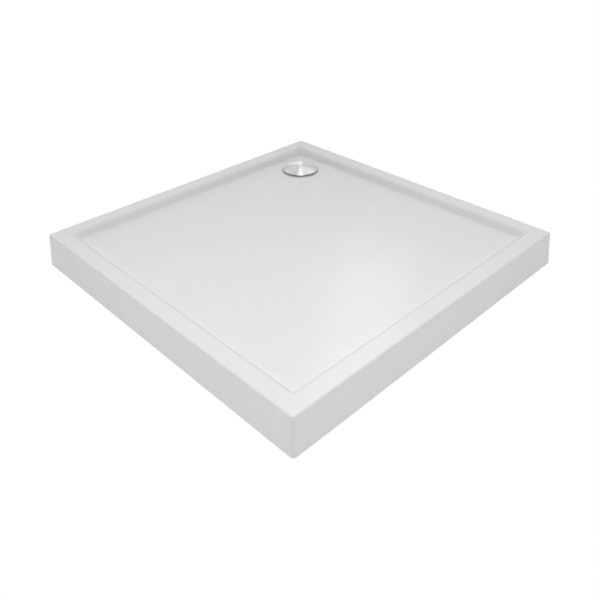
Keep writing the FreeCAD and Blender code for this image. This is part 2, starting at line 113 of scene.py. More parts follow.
def colour(name, description, default):
    """A colour property."""
    return bpy.props.FloatVectorProperty(name=name, description=description, default=default,
                                         min=0.0, max=1.0, size=3, subtype="COLOR")


class TraySizes(bpy.types.PropertyGroup):
    """Sizes of the formed sheet and the laminate behind it."""
    side: length("Side", "Across the apron's bottom edge", float(TRAY_HIGH[0] - TRAY_LOW[0]))
    height: length("Height", "From the apron's bottom edge to the rim", float(TRAY_HIGH[2]))
    apron_lean: length("Apron Lean", "How far each side leans in from bottom to rim", 7 * MM)
    corner_radius: length("Corner Radius", "Upright corners of the apron", 8 * MM)
    rim_edge: length("Rim Edge", "Rounding between apron and rim", 4 * MM)
    rim_width: length("Rim Width", "Flat rim round the basin", 45.5 * MM)
    lip: length("Lip", "Rounding where the rim turns down into the basin", 4 * MM)
    # Painted shade: a darker line in the acrylic's colour along the lip, for the shade on its
    # rounding.
    painted_shade_half_width: length("Lip Line", "Half the width of the darker line along the lip", 4 * MM)
    painted_lip_shade: share("Lip Shade", "How much darker the sheet is on that line", 0.11)
    wall_lean: share("Wall Lean", "How far the basin's walls lean in for each unit of depth", 0.2)
    basin_corner: length("Basin Corner", "Radius of the basin's corners", 8 * MM)
    floor_fillet: length("Floor Fillet", "Rounding between wall and floor", 3 * MM)
    front_depth: length("Front Depth", "Depth of the floor in the corner far from the waste",
                        14.5 * MM)
    waste_depth: length("Waste Depth", "Depth of the floor in the corner beyond the waste",
                        22.5 * MM)
    sheet: length("Sheet", "Thickness of the acrylic", 4 * MM)
    laminate: length("Laminate", "Thickness of the laminate", 3 * MM)
    laminate_edge: length("Laminate Edge", "Height at which the laminate stops on the apron",
                          15 * MM)
    seat_radius: length("Seat Radius", "Round recess that holds the waste's ring", 56 * MM)
    seat_sink: length("Seat Sink", "Depth of that recess", 3 * MM)
    hole_radius: length("Hole Radius", "Hole for the waste", 45 * MM)


class FittingSizes(bpy.types.PropertyGroup):
    """Sizes of the waste's cover, the legs and the screws."""
    cover_crown: length("Cover Crown", "Height of the cover's dome over its skirt", 8 * MM)
    cover_sheet: length("Cover Sheet", "Thickness of the cover", 1.6 * MM)
    thread_pitch: length("Thread Pitch", "Rise of the rods' thread in a turn", 1.5 * MM)
    thread_depth: length("Thread Depth", "Depth of the rods' thread", 0.8 * MM)
    nut_flats: length("Nut Flats", "Across the flats of the legs' nuts", 16 * MM)
    screw_head: length("Screw Head", "Radius of the bracket screws' heads", 4 * MM)
    screw_dome: length("Screw Dome", "Height of those heads", 2.2 * MM)
    screw_shank: length("Screw Shank", "Radius of the screws", 2 * MM)
    screw_length: length("Screw Length", "From under the head to the tip", 11 * MM)
    screw_out: length("Screw Out", "From a bracket's middle to its screws, along it", 34 * MM)
    screw_aside: length("Screw Aside", "From a bracket's middle to its screws, across it", 11 * MM)


class TrayColours(bpy.types.PropertyGroup):
    """Colours of the materials."""
    acrylic: colour("Acrylic", "Formed sheet", (0.86, 0.86, 0.86))
    laminate: colour("Laminate", "Resin over glass strands", (0.72, 0.70, 0.58))
    board: colour("Board", "Pressed chips", (0.55, 0.40, 0.24))
    timber: colour("Timber", "Sawn softwood", (0.66, 0.47, 0.27))
    zinc: colour("Zinc", "Plated steel", (0.66, 0.67, 0.69))
    white_plastic: colour("White Plastic", "Trap and ring", (0.80, 0.80, 0.78))
    grey_plastic: colour("Grey Plastic", "Seal cup and carrier", (0.33, 0.34, 0.36))
    black_plastic: colour("Black Plastic", "Foot pads", (0.03, 0.03, 0.032))
    rubber: colour("Rubber", "Seals", (0.025, 0.025, 0.026))
    cover_metal: colour("Cover Metal", "Brushed cap", (0.97, 0.965, 0.955))


class Studio(bpy.types.PropertyGroup):
    """The camera's place and the lights' strength."""
    camera_x: coordinate("Camera X", -0.9968)
    camera_y: coordinate("Camera Y", -1.0419)
    camera_z: coordinate("Camera Z", 0.9021)
    yaw: angle("Yaw", "Turn of the view from +Y towards +X", 43.921)
    pitch: angle("Pitch", "Tilt of the view above the horizon", -28.790)
    roll: angle("Roll", "Turn about the line of sight", -0.758)
    lens: number("Lens", "Focal length in millimetres on a 36 mm sensor", 39.922)
    shift: bpy.props.FloatProperty(
        name="Shift", description="Upward shift of the picture, in widths", default=-0.125)
    back_low: number("Low Back", "Brightness of the sky low behind the tray", 0.52)
    back_high: number("High Back", "Brightness of the sky high behind the tray", 0.86)
    front_low: number("Low Front", "Brightness of the sky low before the tray", 0.55)
    front_high: number("High Front", "Brightness of the sky high before the tray", 0.03)
    key: number("Key", "Power of the soft light above the front, in watts", 13.8)
    strip: number("Strip", "Power of the narrow light over the waste, in watts", 1.6)
    strip_turn: angle("Strip Turn", "From the view's direction to that of the narrow light", 18.0)
    strip_reach: length("Strip Reach", "From the waste to the place under the narrow light", 0.9)
    strip_height: length("Strip Height", "Height of the narrow light", 1.5)
    floor_glow: number("Floor Glow", "How strongly the floor shines", 0.285)


GROUPS = (TraySizes, FittingSizes, TrayColours, Studio)
HOLDERS = {"tray_sizes": TraySizes, "tray_fittings": FittingSizes, "tray_colours": TrayColours,
           "tray_studio": Studio}


# ------------------------------------------------
# Surfaces


def band(rings, loop=False):
    """Points, point numbers and quads of a band through rings, an array of (row, column, xyz).

    Face (i, j) joins points (i, j), (i, j + 1), (i + 1, j + 1) and (i + 1, j), with columns
    counted round and round. As a loop the last ring joins the first.
    """
    rows, columns = rings.shape[:2]
    index = np.arange(rows * columns).reshape(rows, columns)
    first, second = (index, np.roll(index, -1, axis=0)) if loop else (index[:-1], index[1:])
    quads = np.stack([first, np.roll(first, -1, axis=1), np.roll(second, -1, axis=1), second],
                     axis=-1)
    return rings.reshape(-1, 3), index, quads.reshape(-1, 4)


def ring_surface(rings, loop):
    """Points, quads and triangles of a closed surface through rings.

    It is a band. If it isn't a loop, a fan of triangles from each end ring's mean point closes
    it. Faces are turned so that the volume they hold is positive.
    """
    points, index, quads = band(rings, loop)
    columns = rings.shape[1]
    triangles = np.empty((0, 3), dtype=int)
    if not loop:
        ends = np.array([rings[0].mean(axis=0), rings[-1].mean(axis=0)])
        low = np.full(columns, len(points))
        points = np.vstack([points, ends])
        start = np.stack([low, np.roll(index[0], -1), index[0]], axis=-1)
        finish = np.stack([low + 1, index[-1], np.roll(index[-1], -1)], axis=-1)
        triangles = np.vstack([start, finish])
    if held_volume(points, quads, triangles) < 0:
        quads, triangles = quads[:, ::-1], triangles[:, ::-1]
    return points, quads, triangles


def held_volume(points, quads, triangles):
    """Volume inside a closed surface: a sixth of the sum of a · (b × c) over its triangles."""
    halves = np.vstack([quads[:, [0, 1, 2]], quads[:, [0, 2, 3]], triangles])
    a, b, c = (points[halves[:, k]] for k in range(3))
    return float(np.einsum("ij,ij->i", a, np.cross(b, c)).sum() / 6)


def joined(surfaces):
    """Several surfaces as one, with each one's point numbers moved past those before it."""
    start, points, quads, triangles = 0, [], [], []
    for p, q, t in surfaces:
        points.append(p)
        quads.append(q + start)
        triangles.append(t + start)
        start += len(p)
    return np.vstack(points), np.vstack(quads), np.vstack(triangles)


def moved(surface, offset):
    """A surface moved by an offset."""
    points, quads, triangles = surface
    return points + np.asarray(offset), quads, triangles


def turned(profile, columns, loop=False, ripple=None):
    """A profile of (radius, height) points spun round the Z axis.

    Point (i, j) is (r_i cos a_j, r_i sin a_j, z_i) with a_j = 2 pi j / columns. ripple(r, z, a),
    if given, returns the radius and height with the angle's share in them.
    """
    r, z = np.asarray(profile, dtype=float).T
    a = np.linspace(0, 2 * np.pi, columns, endpoint=False)
    r, z, a = np.broadcast_arrays(r[:, None], z[:, None], a[None, :])
    if ripple:
        r, z = ripple(r, z, a)
    return ring_surface(np.stack([r * np.cos(a), r * np.sin(a), z], axis=-1), loop)


def arc(centre_r, centre_z, radius, start, end, steps):
    """Points of a profile on an arc, (r + R cos a, z + R sin a), with a given in degrees."""
    a = np.radians(np.linspace(start, end, steps + 1))
    return np.column_stack([centre_r + radius * np.cos(a), centre_z + radius * np.sin(a)])


def lumps(points, wavelengths, seed):
    """Smooth unevenness between about -1 and 1: a sum of sines along random directions, over the
    square root of twice their number."""
    draw = np.random.default_rng(seed)
    total = np.zeros(points.shape[:-1])
    for wavelength in wavelengths:
        way = draw.normal(size=3)
        way /= np.linalg.norm(way)
        total += np.sin(points @ way * (2 * np.pi / wavelength) + draw.uniform(0, 2 * np.pi))
    return total / math.sqrt(2 * len(wavelengths))


def new_object(name, data):
    """An object that holds the data, linked to the scene."""
    item = bpy.data.objects.new(name, data)
    bpy.context.scene.collection.objects.link(item)
    return item


def add_piece(name, surface, body, replaced, slot, sharp):
    """Makes an object of a surface, with its slot's material, and puts it on its body.

    It is shaded smooth up to the angle sharp, in degrees.
    """
    points, quads, triangles = surface
    mesh = bpy.data.meshes.new(name)
    mesh.from_pydata(points.tolist(), [], quads.tolist() + triangles.tolist())
    mesh.shade_smooth()
    mesh.set_sharp_from_angle(angle=math.radians(sharp))
    mesh.materials.append(finish(slot))
    piece = new_object(name, mesh)
    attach(piece, body)
    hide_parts(*replaced)


# ------------------------------------------------
# The formed sheet and its laminate


def square_path(side_steps, corner_steps):
    """A rounded square as two arrays: s, a point of the inner square, and the normal n.

    s runs from -1 to 1, so a square of half side h and corner radius r has points (h - r) s + r n.
    """
    a = np.linspace(0, np.pi / 2, corner_steps + 1)
    along = np.linspace(1, -1, side_steps + 1)[1:-1]
    corner_n = np.column_stack([np.cos(a), np.sin(a)])
    side_s = np.column_stack([along, np.ones_like(along)])
    s = np.vstack([np.ones_like(corner_n), side_s])
    n = np.vstack([corner_n, np.tile((0.0, 1.0), (len(along), 1))])
    quarter = np.array([[0.0, 1.0], [-1.0, 0.0]])
    turns = [np.linalg.matrix_power(quarter, k) for k in range(4)]
    return np.vstack([s @ t for t in turns]), np.vstack([n @ t for t in turns])


def floor_height(sizes, x, y, drop=0.0):
    """The floor's plane, z = H - (d + D) / 2 - f (x + y), for a height H and the depths d and D.

    It falls evenly along the diagonal to the waste's corner. drop is taken off it.
    """
    half = sizes.side / 2 - sizes.apron_lean - sizes.rim_width
    fall = (sizes.waste_depth - sizes.front_depth) / (4 * half)
    return sizes.height - (sizes.front_depth + sizes.waste_depth) / 2 - fall * (x + y) - drop


# Where the rings stand across the rim, down the wall and over the floor, as shares of the way
RIM_SHARES = (0.03, 0.25, 0.5, 0.75, 0.97)
WALL_SHARES = (0.08, 0.5, 0.92)
FLOOR_SHARES = (0.02, 0.12, 0.25, 0.4, 0.55, 0.7, 0.82, 0.9, 0.95, 0.98, 1.0)


def moulding_rings(sizes, spread, low, path):
    """Rings on one face of the sheet, from the apron's bottom edge over the rim to the hole.

    spread is how far the face lies behind the show face. Every ring is a rounded square until the
    floor, where it is a straight blend from the last square to a circle round the waste. Arcs of
    a circle in the section join apron to rim, rim to wall, wall to floor and floor to seat.
    """
    s, n = path
    count = len(s)
    top = sizes.height - spread
    show_face = spread == 0
    outer = max(sizes.corner_radius - spread, 1 * MM)
    edge = max(sizes.rim_edge - spread, 0.5 * MM)
    lip = sizes.lip if show_face else 0.6 * MM
    half_basin = sizes.side / 2 - sizes.apron_lean - sizes.rim_width + spread
    inner = sizes.basin_corner + spread
    lean = math.atan(sizes.wall_lean)
    rings = []

    def ring(half, radius, z):
        half, radius, z = (np.broadcast_to(v, (count,)) for v in (half, radius, z))
        rings.append(np.column_stack([(half - radius)[:, None] * s + radius[:, None] * n, z]))

    def apron(z):
        return sizes.side / 2 - spread - sizes.apron_lean * z / sizes.height

    def wall(z):
        return half_basin - sizes.wall_lean * (sizes.height - z)

    def basin_ring(half, z):
        ring(half, inner + half - wall(z), z)

    # apron, then the rim's outer edge
    bend = top - edge
    for z in (low, low + 1.5 * MM, (low + bend) / 2, bend - 2 * MM, bend):
        ring(apron(z), outer, z)
    for a in np.radians(np.linspace(0, 90, 9)[1:]):
        back = edge * (1 - math.cos(a))
        ring(apron(bend) - back, outer - back, bend + edge * math.sin(a))

    # rim, then the lip
    lip_z = top - lip
    lip_half = wall(lip_z) + lip / math.cos(lean)
    ends = np.array([[apron(bend) - edge, outer - edge], [lip_half, inner + lip_half - wall(top)]])
    for share_in in RIM_SHARES:
        half, radius = ends[0] * (1 - share_in) + ends[1] * share_in
        ring(half, radius, top)
    for a in np.linspace(math.pi / 2, math.pi - lean, 9):
        basin_ring(lip_half + lip * math.cos(a), lip_z + lip * math.sin(a))

    # wall, then the floor's fillet, whose centre is found step by step, as the floor slopes
    fillet = sizes.floor_fillet + spread
    floor = np.full(count, floor_height(sizes, 0, 0, spread))
    for _ in range(3):
        centre_z = floor + fillet
        centre_half = wall(centre_z) - fillet / math.cos(lean)
        radius = inner + centre_half - wall(floor)
        xy = (centre_half - radius)[:, None] * s + radius[:, None] * n
        floor = floor_height(sizes, xy[:, 0], xy[:, 1], spread)
    wall_top = lip_z + lip * math.sin(lean)
    wall_foot = centre_z - fillet * math.sin(lean)
    for share_down in WALL_SHARES:
        z = wall_top + (wall_foot - wall_top) * share_down
        basin_ring(wall(z), z)
    for a in np.linspace(-lean, -math.pi / 2, 11):
        basin_ring(centre_half + fillet * math.cos(a), centre_z + fillet * math.sin(a))

    # floor, blended from the last square to the circle round the seat
    seat_edge = 1 * MM if show_face else 0.4 * MM
    seat = sizes.seat_radius + spread
    border = rings[-1][:, :2]
    aim = border - WASTE[:2]
    aim = aim / np.linalg.norm(aim, axis=1)[:, None]
    start = WASTE[:2] + aim * (seat + seat_edge)
    for share_in in FLOOR_SHARES:
        xy = border * (1 - share_in) + start * share_in
        z = floor_height(sizes, xy[:, 0], xy[:, 1], spread)
        rings.append(np.column_stack([xy, z]))

    # seat: its edge, wall, corner and bottom
    bottom = floor_height(sizes, WASTE[0], WASTE[1]) - sizes.seat_sink - spread
    edge_z = rings[-1][:, 2] - seat_edge
    corner = 0.6 * MM

    def circle(radius, z):
        xy = WASTE[:2] + aim * radius
        rings.append(np.column_stack([xy, np.broadcast_to(z, (count,))]))

    for a in np.radians((105, 125, 145, 165, 180)):
        circle(seat + seat_edge + seat_edge * math.cos(a), edge_z + seat_edge * math.sin(a))
    for a in np.radians((0, -30, -60, -90)):
        circle(seat - corner + corner * math.cos(a), bottom + corner + corner * math.sin(a))
    circle(seat - 2 * corner, bottom)
    circle(sizes.hole_radius + 1 * MM, bottom)
    circle(sizes.hole_radius, bottom)
    return np.array(rings)


def formed_sheet(sizes):
    """The acrylic: its show face and its back joined along the bottom edge and the hole's edge."""
    path = square_path(side_steps=48, corner_steps=12)
    face = moulding_rings(sizes, 0.0, 0.0, path)
    back = moulding_rings(sizes, sizes.sheet, 0.0, path)
    return ring_surface(np.concatenate([face, back[::-1]]), loop=True)


def sprayed_laminate(sizes):
    """The laminate: level where it lies on the acrylic, lumpy on the side that was sprayed.

    The sprayed side is moved along its normal by the lumps, but not at its edge or in the seat.
    """
    lump_depth, shortest, longest, wave_count = 0.45 * MM, 9 * MM, 60 * MM, 14
    edge_rows, seat_rows = 2, 24
    path = square_path(side_steps=110, corner_steps=10)
    face, back = (densified(moulding_rings(sizes, spread, sizes.laminate_edge, path), 3)
                  for spread in (sizes.sheet, sizes.sheet + sizes.laminate))
    along = np.roll(back, -1, axis=1) - np.roll(back, 1, axis=1)
    normal = np.cross(np.gradient(back, axis=0), along)
    normal /= np.maximum(np.linalg.norm(normal, axis=-1), 1e-9)[..., None]
    rough = lumps(back, np.geomspace(shortest, longest, wave_count), seed=4) * lump_depth
    rough[:edge_rows], rough[-seat_rows:] = 0.0, 0.0
    back = back + normal * rough[..., None]
    return ring_surface(np.concatenate([face, back[::-1]]), loop=True)


def densified(rings, times):
    """Rings with straight steps a (1 - t) + b t between each pair a and b."""
    shares = (np.arange(times) / times)[:, None, None]
    steps = rings[:-1, None] * (1 - shares) + rings[1:, None] * shares
    return np.concatenate([steps.reshape(-1, *rings.shape[1:]), rings[-1:]])


# ------------------------------------------------
# Waste cover


def cap_profile(fittings):
    """Section of the cover: dome, rounded shoulder, skirt and the same again inside.

    The dome is part of a sphere of radius (a^2 + c^2) / 2 c, for a reach a and a crown c.
    """
    radius = (COVER_HIGH[0] - COVER_LOW[0]) / 2
    sheet, crown = fittings.cover_sheet, fittings.cover_crown
    reach = radius - sheet / 2
    ball = (reach ** 2 + crown ** 2) / (2 * crown)
    centre = COVER_HIGH[2] - ball
    low = COVER_LOW[2]

    def shell(inset, shoulder):
        ball_in, reach_in = ball - inset, radius - inset
        shoulder_r = reach_in - shoulder
        shoulder_z = centre + math.sqrt((ball_in - shoulder) ** 2 - shoulder_r ** 2)
        tilt = math.degrees(math.atan2(shoulder_z - centre, shoulder_r))
        dome = arc(0, centre, ball_in, 90 - 1e-3, tilt, 30)
        turn = arc(shoulder_r, shoulder_z, shoulder, tilt, 0, 8)
        return np.vstack([dome, turn[1:]])

    outside = shell(0, sheet)
    inside = shell(sheet, 0.3 * MM)
    lip = 0.35 * MM
    edge = np.vstack([[[radius, low + 3 * lip]], arc(radius - lip, low + lip, lip, 0, -90, 4),
                      arc(radius - sheet + lip, low + lip, lip, -90, -180, 4),
                      [[radius - sheet, low + 3 * lip]]])
    return np.vstack([outside, edge, inside[::-1]])


# ------------------------------------------------
# Legs


def threaded_rod(low, high, radius, fittings):
    """A rod whose radius waves with height and angle: r = R - d w((z / p) - a / 2 pi).

    w is a cosine wave raised to a power, so that roots are narrow, and each end is chamfered.
    """
    pitch, depth = fittings.thread_pitch, fittings.thread_depth
    rows_a_turn = 8
    rows = int(round((high - low) / pitch * rows_a_turn)) + 1
    z = np.linspace(low, high, rows)

    def thread(r, z, a):
        wave = 0.5 + 0.5 * np.cos(2 * np.pi * z / pitch - a)
        r = r - depth * wave ** 1.4
        tip = radius - 1 * MM
        return np.minimum(r, tip + np.minimum(z - low, high - z)), z

    return turned(np.column_stack([np.full(rows, radius), z]), columns=32, ripple=thread)


def hexagon_nut(flats, bore, low, high):
    """A nut: its radius is the lesser of the hexagon's, (f / 2) / cos(a'), and a cone's.

    a' is the angle from the nearest flat's middle, and the cone chamfers the corners at both ends.
    """
    flat = flats / 2
    chamfer = flat * (2 / math.sqrt(3) - 1) / 2
    lower = [(bore, low), (bore + 0.6 * MM, low), (flat, low)]
    lower += [(2 * flat, low + chamfer * k / 3) for k in (1, 2, 3)]
    upper = [(r, low + high - z) for r, z in reversed(lower)]

    def hexagon(r, z, a):
        off = np.mod(a + np.pi / 6, np.pi / 3) - np.pi / 6
        cone = flat + 2 * np.minimum(z - low, high - z)
        return np.minimum(r, np.minimum(flat / np.cos(off), cone)), z

    return turned(lower + upper, columns=72, loop=True, ripple=hexagon)


def foot_pad(low, high, radius, rod_radius):
    """A round pad with a tread of rings below and twelve ribs on its sloping top.

    A rib raises z by its height times (cos 12 a - 0.55) / 0.25, kept between 0 and 1.
    """
    rim = low + 3 * MM
    neck = rod_radius + 4 * MM
    groove, rib = 0.7 * MM, 1.1 * MM
    tread = []
    for k in range(3):
        r = radius - (4 + 5 * k) * MM
        tread += [(r, low), (r - 0.5 * MM, low + groove), (r - 2 * MM, low + groove),
                  (r - 2.5 * MM, low)]
    socket = high - 6 * MM
    outline = [(0.5 * MM, low)] + tread[::-1]
    outline += [(radius - 1 * MM, low), (radius - 0.3 * MM, low + 0.3 * MM),
                (radius, low + 1 * MM), (radius, rim - 0.5 * MM), (radius - 0.5 * MM, rim)]
    slope = np.linspace(0.04, 0.96, 12)
    foot = np.array([radius - 1.5 * MM, rim])
    head = np.array([neck + 2 * MM, high - 2 * MM])
    outline += [tuple(foot * (1 - t) + head * t) for t in slope]
    outline += [(neck + 1 * MM, high - 1 * MM), (neck, high - 0.3 * MM), (neck - 0.3 * MM, high),
                (rod_radius + 0.1 * MM, high), (rod_radius + 0.1 * MM, socket), (0.5 * MM, socket)]

    def ribs(r, z, a):
        on_slope = (r > neck + 1.5 * MM) & (r < radius - 1.2 * MM) & (z > rim - 0.1 * MM)
        crest = np.clip((np.cos(12 * a) - 0.55) / 0.25, 0, 1)
        return r, z + np.where(on_slope, crest * rib, 0)

    return turned(outline, columns=144, ripple=ribs)


def wood_screw(radius, height, shank, length):
    """A screw pointing up, its head's underside at z = 0, with a cross-shaped recess below.

    The head is z = -h (1 - b (r / R)^2)^1/2 + d x(r, a), where b is the bend, d the recess's depth
    and x is 1 in the middle of the cross and falls to 0 at the ends of its arms.
    """
    bend, recess = 0.82, 0.55 * height
    arm, width = 0.6 * radius, 0.14 * radius
    r = np.linspace(0.02, 1, 16) * radius
    dome = np.column_stack([r, -height * np.sqrt(1 - bend * (r / radius) ** 2)])
    outline = np.vstack([dome, [(radius, 0), (shank, 0), (shank, length - 2 * shank),
                                (0.1 * MM, length)]])

    def cross(r, z, a):
        u, v = np.abs(r * np.cos(a)), np.abs(r * np.sin(a))
        within = (np.minimum(u, v) < width) & (r < arm) & (z < -0.1 * MM)
        return r, z + within * recess * np.clip((arm - r) / (0.5 * arm), 0, 1)

    return turned(outline, columns=48, ripple=cross)


# ------------------------------------------------
# Node groups and materials


class Nodes:
    """Short ways to build a node tree."""

    def __init__(self, tree):
        self.tree = tree

    def add(self, kind, values=None, **settings):
        """A node with its settings and its sockets' values or links."""
        node = self.tree.nodes.new(kind)
        for key, value in settings.items():
            setattr(node, key, value)
        for key, value in (values or {}).items():
            self.put(node.inputs[key], value)
        return node

    def put(self, socket, value):
        """Links a socket to another, or gives it a value."""
        if isinstance(value, bpy.types.NodeSocket):
            self.tree.links.new(value, socket)
        else:
            socket.default_value = value

    def maths(self, operation, a, b=0.0):
        """One sum."""
        return self.add("ShaderNodeMath", {0: a, 1: b}, operation=operation).outputs[0]

    def fit(self, value, low, high, to_low=0.0, to_high=1.0):
        """A value carried from one range to another."""
        return self.add("ShaderNodeMapRange", {"Value": value, "From Min": low, "From Max": high,
                                               "To Min": to_low, "To Max": to_high}).outputs[0]

    def blend(self, factor, a, b, way="MIX"):
        """A mix of two colours."""
        node = self.add("ShaderNodeMix", data_type="RGBA", blend_type=way)
        self.put(node.inputs["Factor"], factor)
        self.put(node.inputs[6], a)
        self.put(node.inputs[7], b)
        return node.outputs[2]

    def shades(self, factor, tint, first, second):
        """A mix of two gains of one colour."""
        return self.blend(factor, rgba(tint, first), rgba(tint, second))

    def noise(self, vector, scale, detail=3.0, rough=0.5, distortion=0.0):
        """Noise of one scale."""
        values = {"Vector": vector, "Scale": scale, "Detail": detail, "Roughness": rough,
                  "Distortion": distortion}
        return self.add("ShaderNodeTexNoise", values).outputs["Fac"]

    def cells(self, vector, scale, output):
        """Cells round scattered points: their Color or the Distance from them."""
        values = {"Vector": vector, "Scale": scale}
        return self.add("ShaderNodeTexVoronoi", values, feature="F1").outputs[output]

    def cell_tone(self, vector, scale):
        """A random tone from 0 to 1 for each cell."""
        return self.add("ShaderNodeSeparateColor",
                        {"Color": self.cells(vector, scale, "Color")}).outputs[0]

    def parts(self, vector):
        """The three parts of a vector."""
        return self.add("ShaderNodeSeparateXYZ", {"Vector": vector}).outputs

    def vector(self, x=0.0, y=0.0, z=0.0):
        """A vector of three parts."""
        return self.add("ShaderNodeCombineXYZ", {"X": x, "Y": y, "Z": z}).outputs[0]

    def place(self, vector, scale=(1, 1, 1), turn=(0, 0, 0), move=(0, 0, 0)):
        """A vector moved, turned and scaled."""
        return self.add("ShaderNodeMapping", {"Vector": vector, "Location": move, "Rotation": turn,
                                              "Scale": scale}).outputs[0]


def new_group(name, result, **inputs):
    """An empty node group with a vector and named floats to put in, and one float to get out.

    Returns its helper, the sockets of what is put in and the socket of the result.
    """
    tree = bpy.data.node_groups.new(name, "ShaderNodeTree")
    tree.interface.new_socket("Vector", in_out="INPUT", socket_type="NodeSocketVector")
    for label, default in inputs.items():
        socket = tree.interface.new_socket(label, in_out="INPUT", socket_type="NodeSocketFloat")
        socket.default_value = default
    tree.interface.new_socket(result, in_out="OUTPUT", socket_type="NodeSocketFloat")
    nodes = Nodes(tree)
    given, end = nodes.add("NodeGroupInput"), nodes.add("NodeGroupOutput")
    return nodes, given.outputs, end.inputs[0]


def mottle_group():
    """Broad and fine unevenness in one mask, for colour and roughness."""
    nodes, given, result = new_group("Mottle", "Mask", Broad=6.0, Fine=90.0)
    broad = nodes.noise(given["Vector"], given["Broad"], 4.0, 0.55)
    fine = nodes.noise(given["Vector"], given["Fine"], 5.0, 0.6)
    nodes.put(result, nodes.fit(nodes.maths("ADD", broad, fine), 0.7, 1.3))
    return nodes.tree


def relief_group():
    """Fine relief as a height: a grain over a broader waviness."""
    nodes, given, result = new_group("Relief", "Height", Scale=900.0, Waviness=0.5)
    grain = nodes.noise(given["Vector"], given["Scale"], 2.0, 0.5)
    broader = nodes.maths("MULTIPLY", given["Scale"], 0.08)
    wave = nodes.noise(given["Vector"], broader, 1.0)
    waved = nodes.maths("MULTIPLY", wave, given["Waviness"])
    nodes.put(result, nodes.maths("ADD", grain, waved))
    return nodes.tree


def strand_group():
    """Chopped strands at random angles: the strongest of four stretched noises, each turned."""
    nodes, given, result = new_group("Strands", "Mask", Scale=260.0, Stretch=0.07)
    turns = ((0.2, 0.3, 0.15), (0.5, -0.4, 1.0), (-0.6, 0.2, 1.9), (0.1, 0.7, 2.6))
    squeeze = nodes.vector(given["Stretch"], 1.0, 1.0)
    best = 0.0
    for k, turn in enumerate(turns):
        layer = nodes.place(given["Vector"], turn=turn, move=(0.3 * k, 0.1 * k, 0.2 * k))
        stretched = nodes.add("ShaderNodeVectorMath", {0: layer, 1: squeeze},
                              operation="MULTIPLY").outputs[0]
        best = nodes.maths("MAXIMUM", nodes.noise(stretched, given["Scale"], 1.0, 0.4), best)
    nodes.put(result, nodes.fit(best, 0.58, 0.78))
    return nodes.tree


EFFECT_MAKERS = {"Mottle": mottle_group, "Relief": relief_group, "Strands": strand_group}
EFFECTS = {}


def effect(nodes, name, **values):
    """Places one of the shared node groups and returns its output."""
    if name not in EFFECTS:
        EFFECTS[name] = EFFECT_MAKERS[name]()
    node = nodes.add("ShaderNodeGroup", node_tree=EFFECTS[name])
    for key, value in values.items():
        nodes.put(node.inputs[key], value)
    return node.outputs[0]


def new_material(name):
    """A material with its helper, its shader and its Object coordinates."""
    material = bpy.data.materials.new(name)
    material.use_nodes = True
    nodes = Nodes(material.node_tree)
    shader = material.node_tree.nodes["Principled BSDF"]
    return material, nodes, shader, nodes.add("ShaderNodeTexCoord").outputs["Object"]


def rgba(value, gain=1.0):
    """A colour with full alpha."""
    return (*[min(1.0, c * gain) for c in value], 1.0)


def dress(nodes, shader, tone, rough, height, depth, strength):
    """Feeds colour, roughness and relief to a shader; depth is the relief's, in metres."""
    nodes.put(shader.inputs["Base Color"], tone)
    nodes.put(shader.inputs["Roughness"], rough)
    bump = nodes.add("ShaderNodeBump", {"Height": height, "Distance": depth, "Strength": strength})
    nodes.put(shader.inputs["Normal"], bump.outputs[0])


def acrylic_material(colours):
    """Gloss sheet: faint mottle in tone and sheen over a slight orange-peel waviness.

    A narrow line along the basin's lip is painted a little darker, as painted shade where the lip
    rounds over. Its distance from the middle is the greater of |x| and |y|.
    """
    material, nodes, shader, place = new_material("acrylic")
    mask = effect(nodes, "Mottle", Vector=place, Broad=3.0, Fine=40.0)
    sizes = bpy.context.scene.tray_sizes
    lip = sizes.side / 2 - sizes.apron_lean - sizes.rim_width + sizes.lip
    x, y, _ = nodes.parts(place)
    out = nodes.maths("MAXIMUM", nodes.maths("ABSOLUTE", x), nodes.maths("ABSOLUTE", y))
    off_line = nodes.maths("ABSOLUTE", nodes.maths("SUBTRACT", out, lip))
    # Painted shade: the sheet's colour is darkened towards black on a line along the lip.
    line = nodes.fit(off_line, 0.3 * sizes.painted_shade_half_width, sizes.painted_shade_half_width, sizes.painted_lip_shade, 0.0)
    sheet = nodes.shades(mask, colours.acrylic, 0.985, 1.01)
    relief = effect(nodes, "Relief", Vector=place, Scale=420.0, Waviness=1.5)
    shader.inputs["IOR"].default_value = 1.49
    dress(nodes, shader, nodes.blend(line, sheet, (0, 0, 0, 1)),
          nodes.fit(mask, 0, 1, 0.16, 0.22), relief, 0.02 * MM, 0.35)
    return material


def laminate_material(colours):
    """Cured resin over chopped glass: pale strands, darker resin pools and a glossy lumpy skin."""
    material, nodes, shader, place = new_material("laminate")
    strands = effect(nodes, "Strands", Vector=place)
    mask = effect(nodes, "Mottle", Vector=place, Broad=14.0, Fine=160.0)
    resin = nodes.shades(mask, colours.laminate, 0.72, 1.0)
    tone = nodes.blend(nodes.maths("MULTIPLY", strands, 0.6), resin, (0.86, 0.86, 0.80, 1))
    height = nodes.maths("ADD", nodes.maths("MULTIPLY", strands, 0.7), mask)
    dress(nodes, shader, tone, nodes.fit(strands, 0, 1, 0.28, 0.5), height, 0.5 * MM, 0.8)
    return material


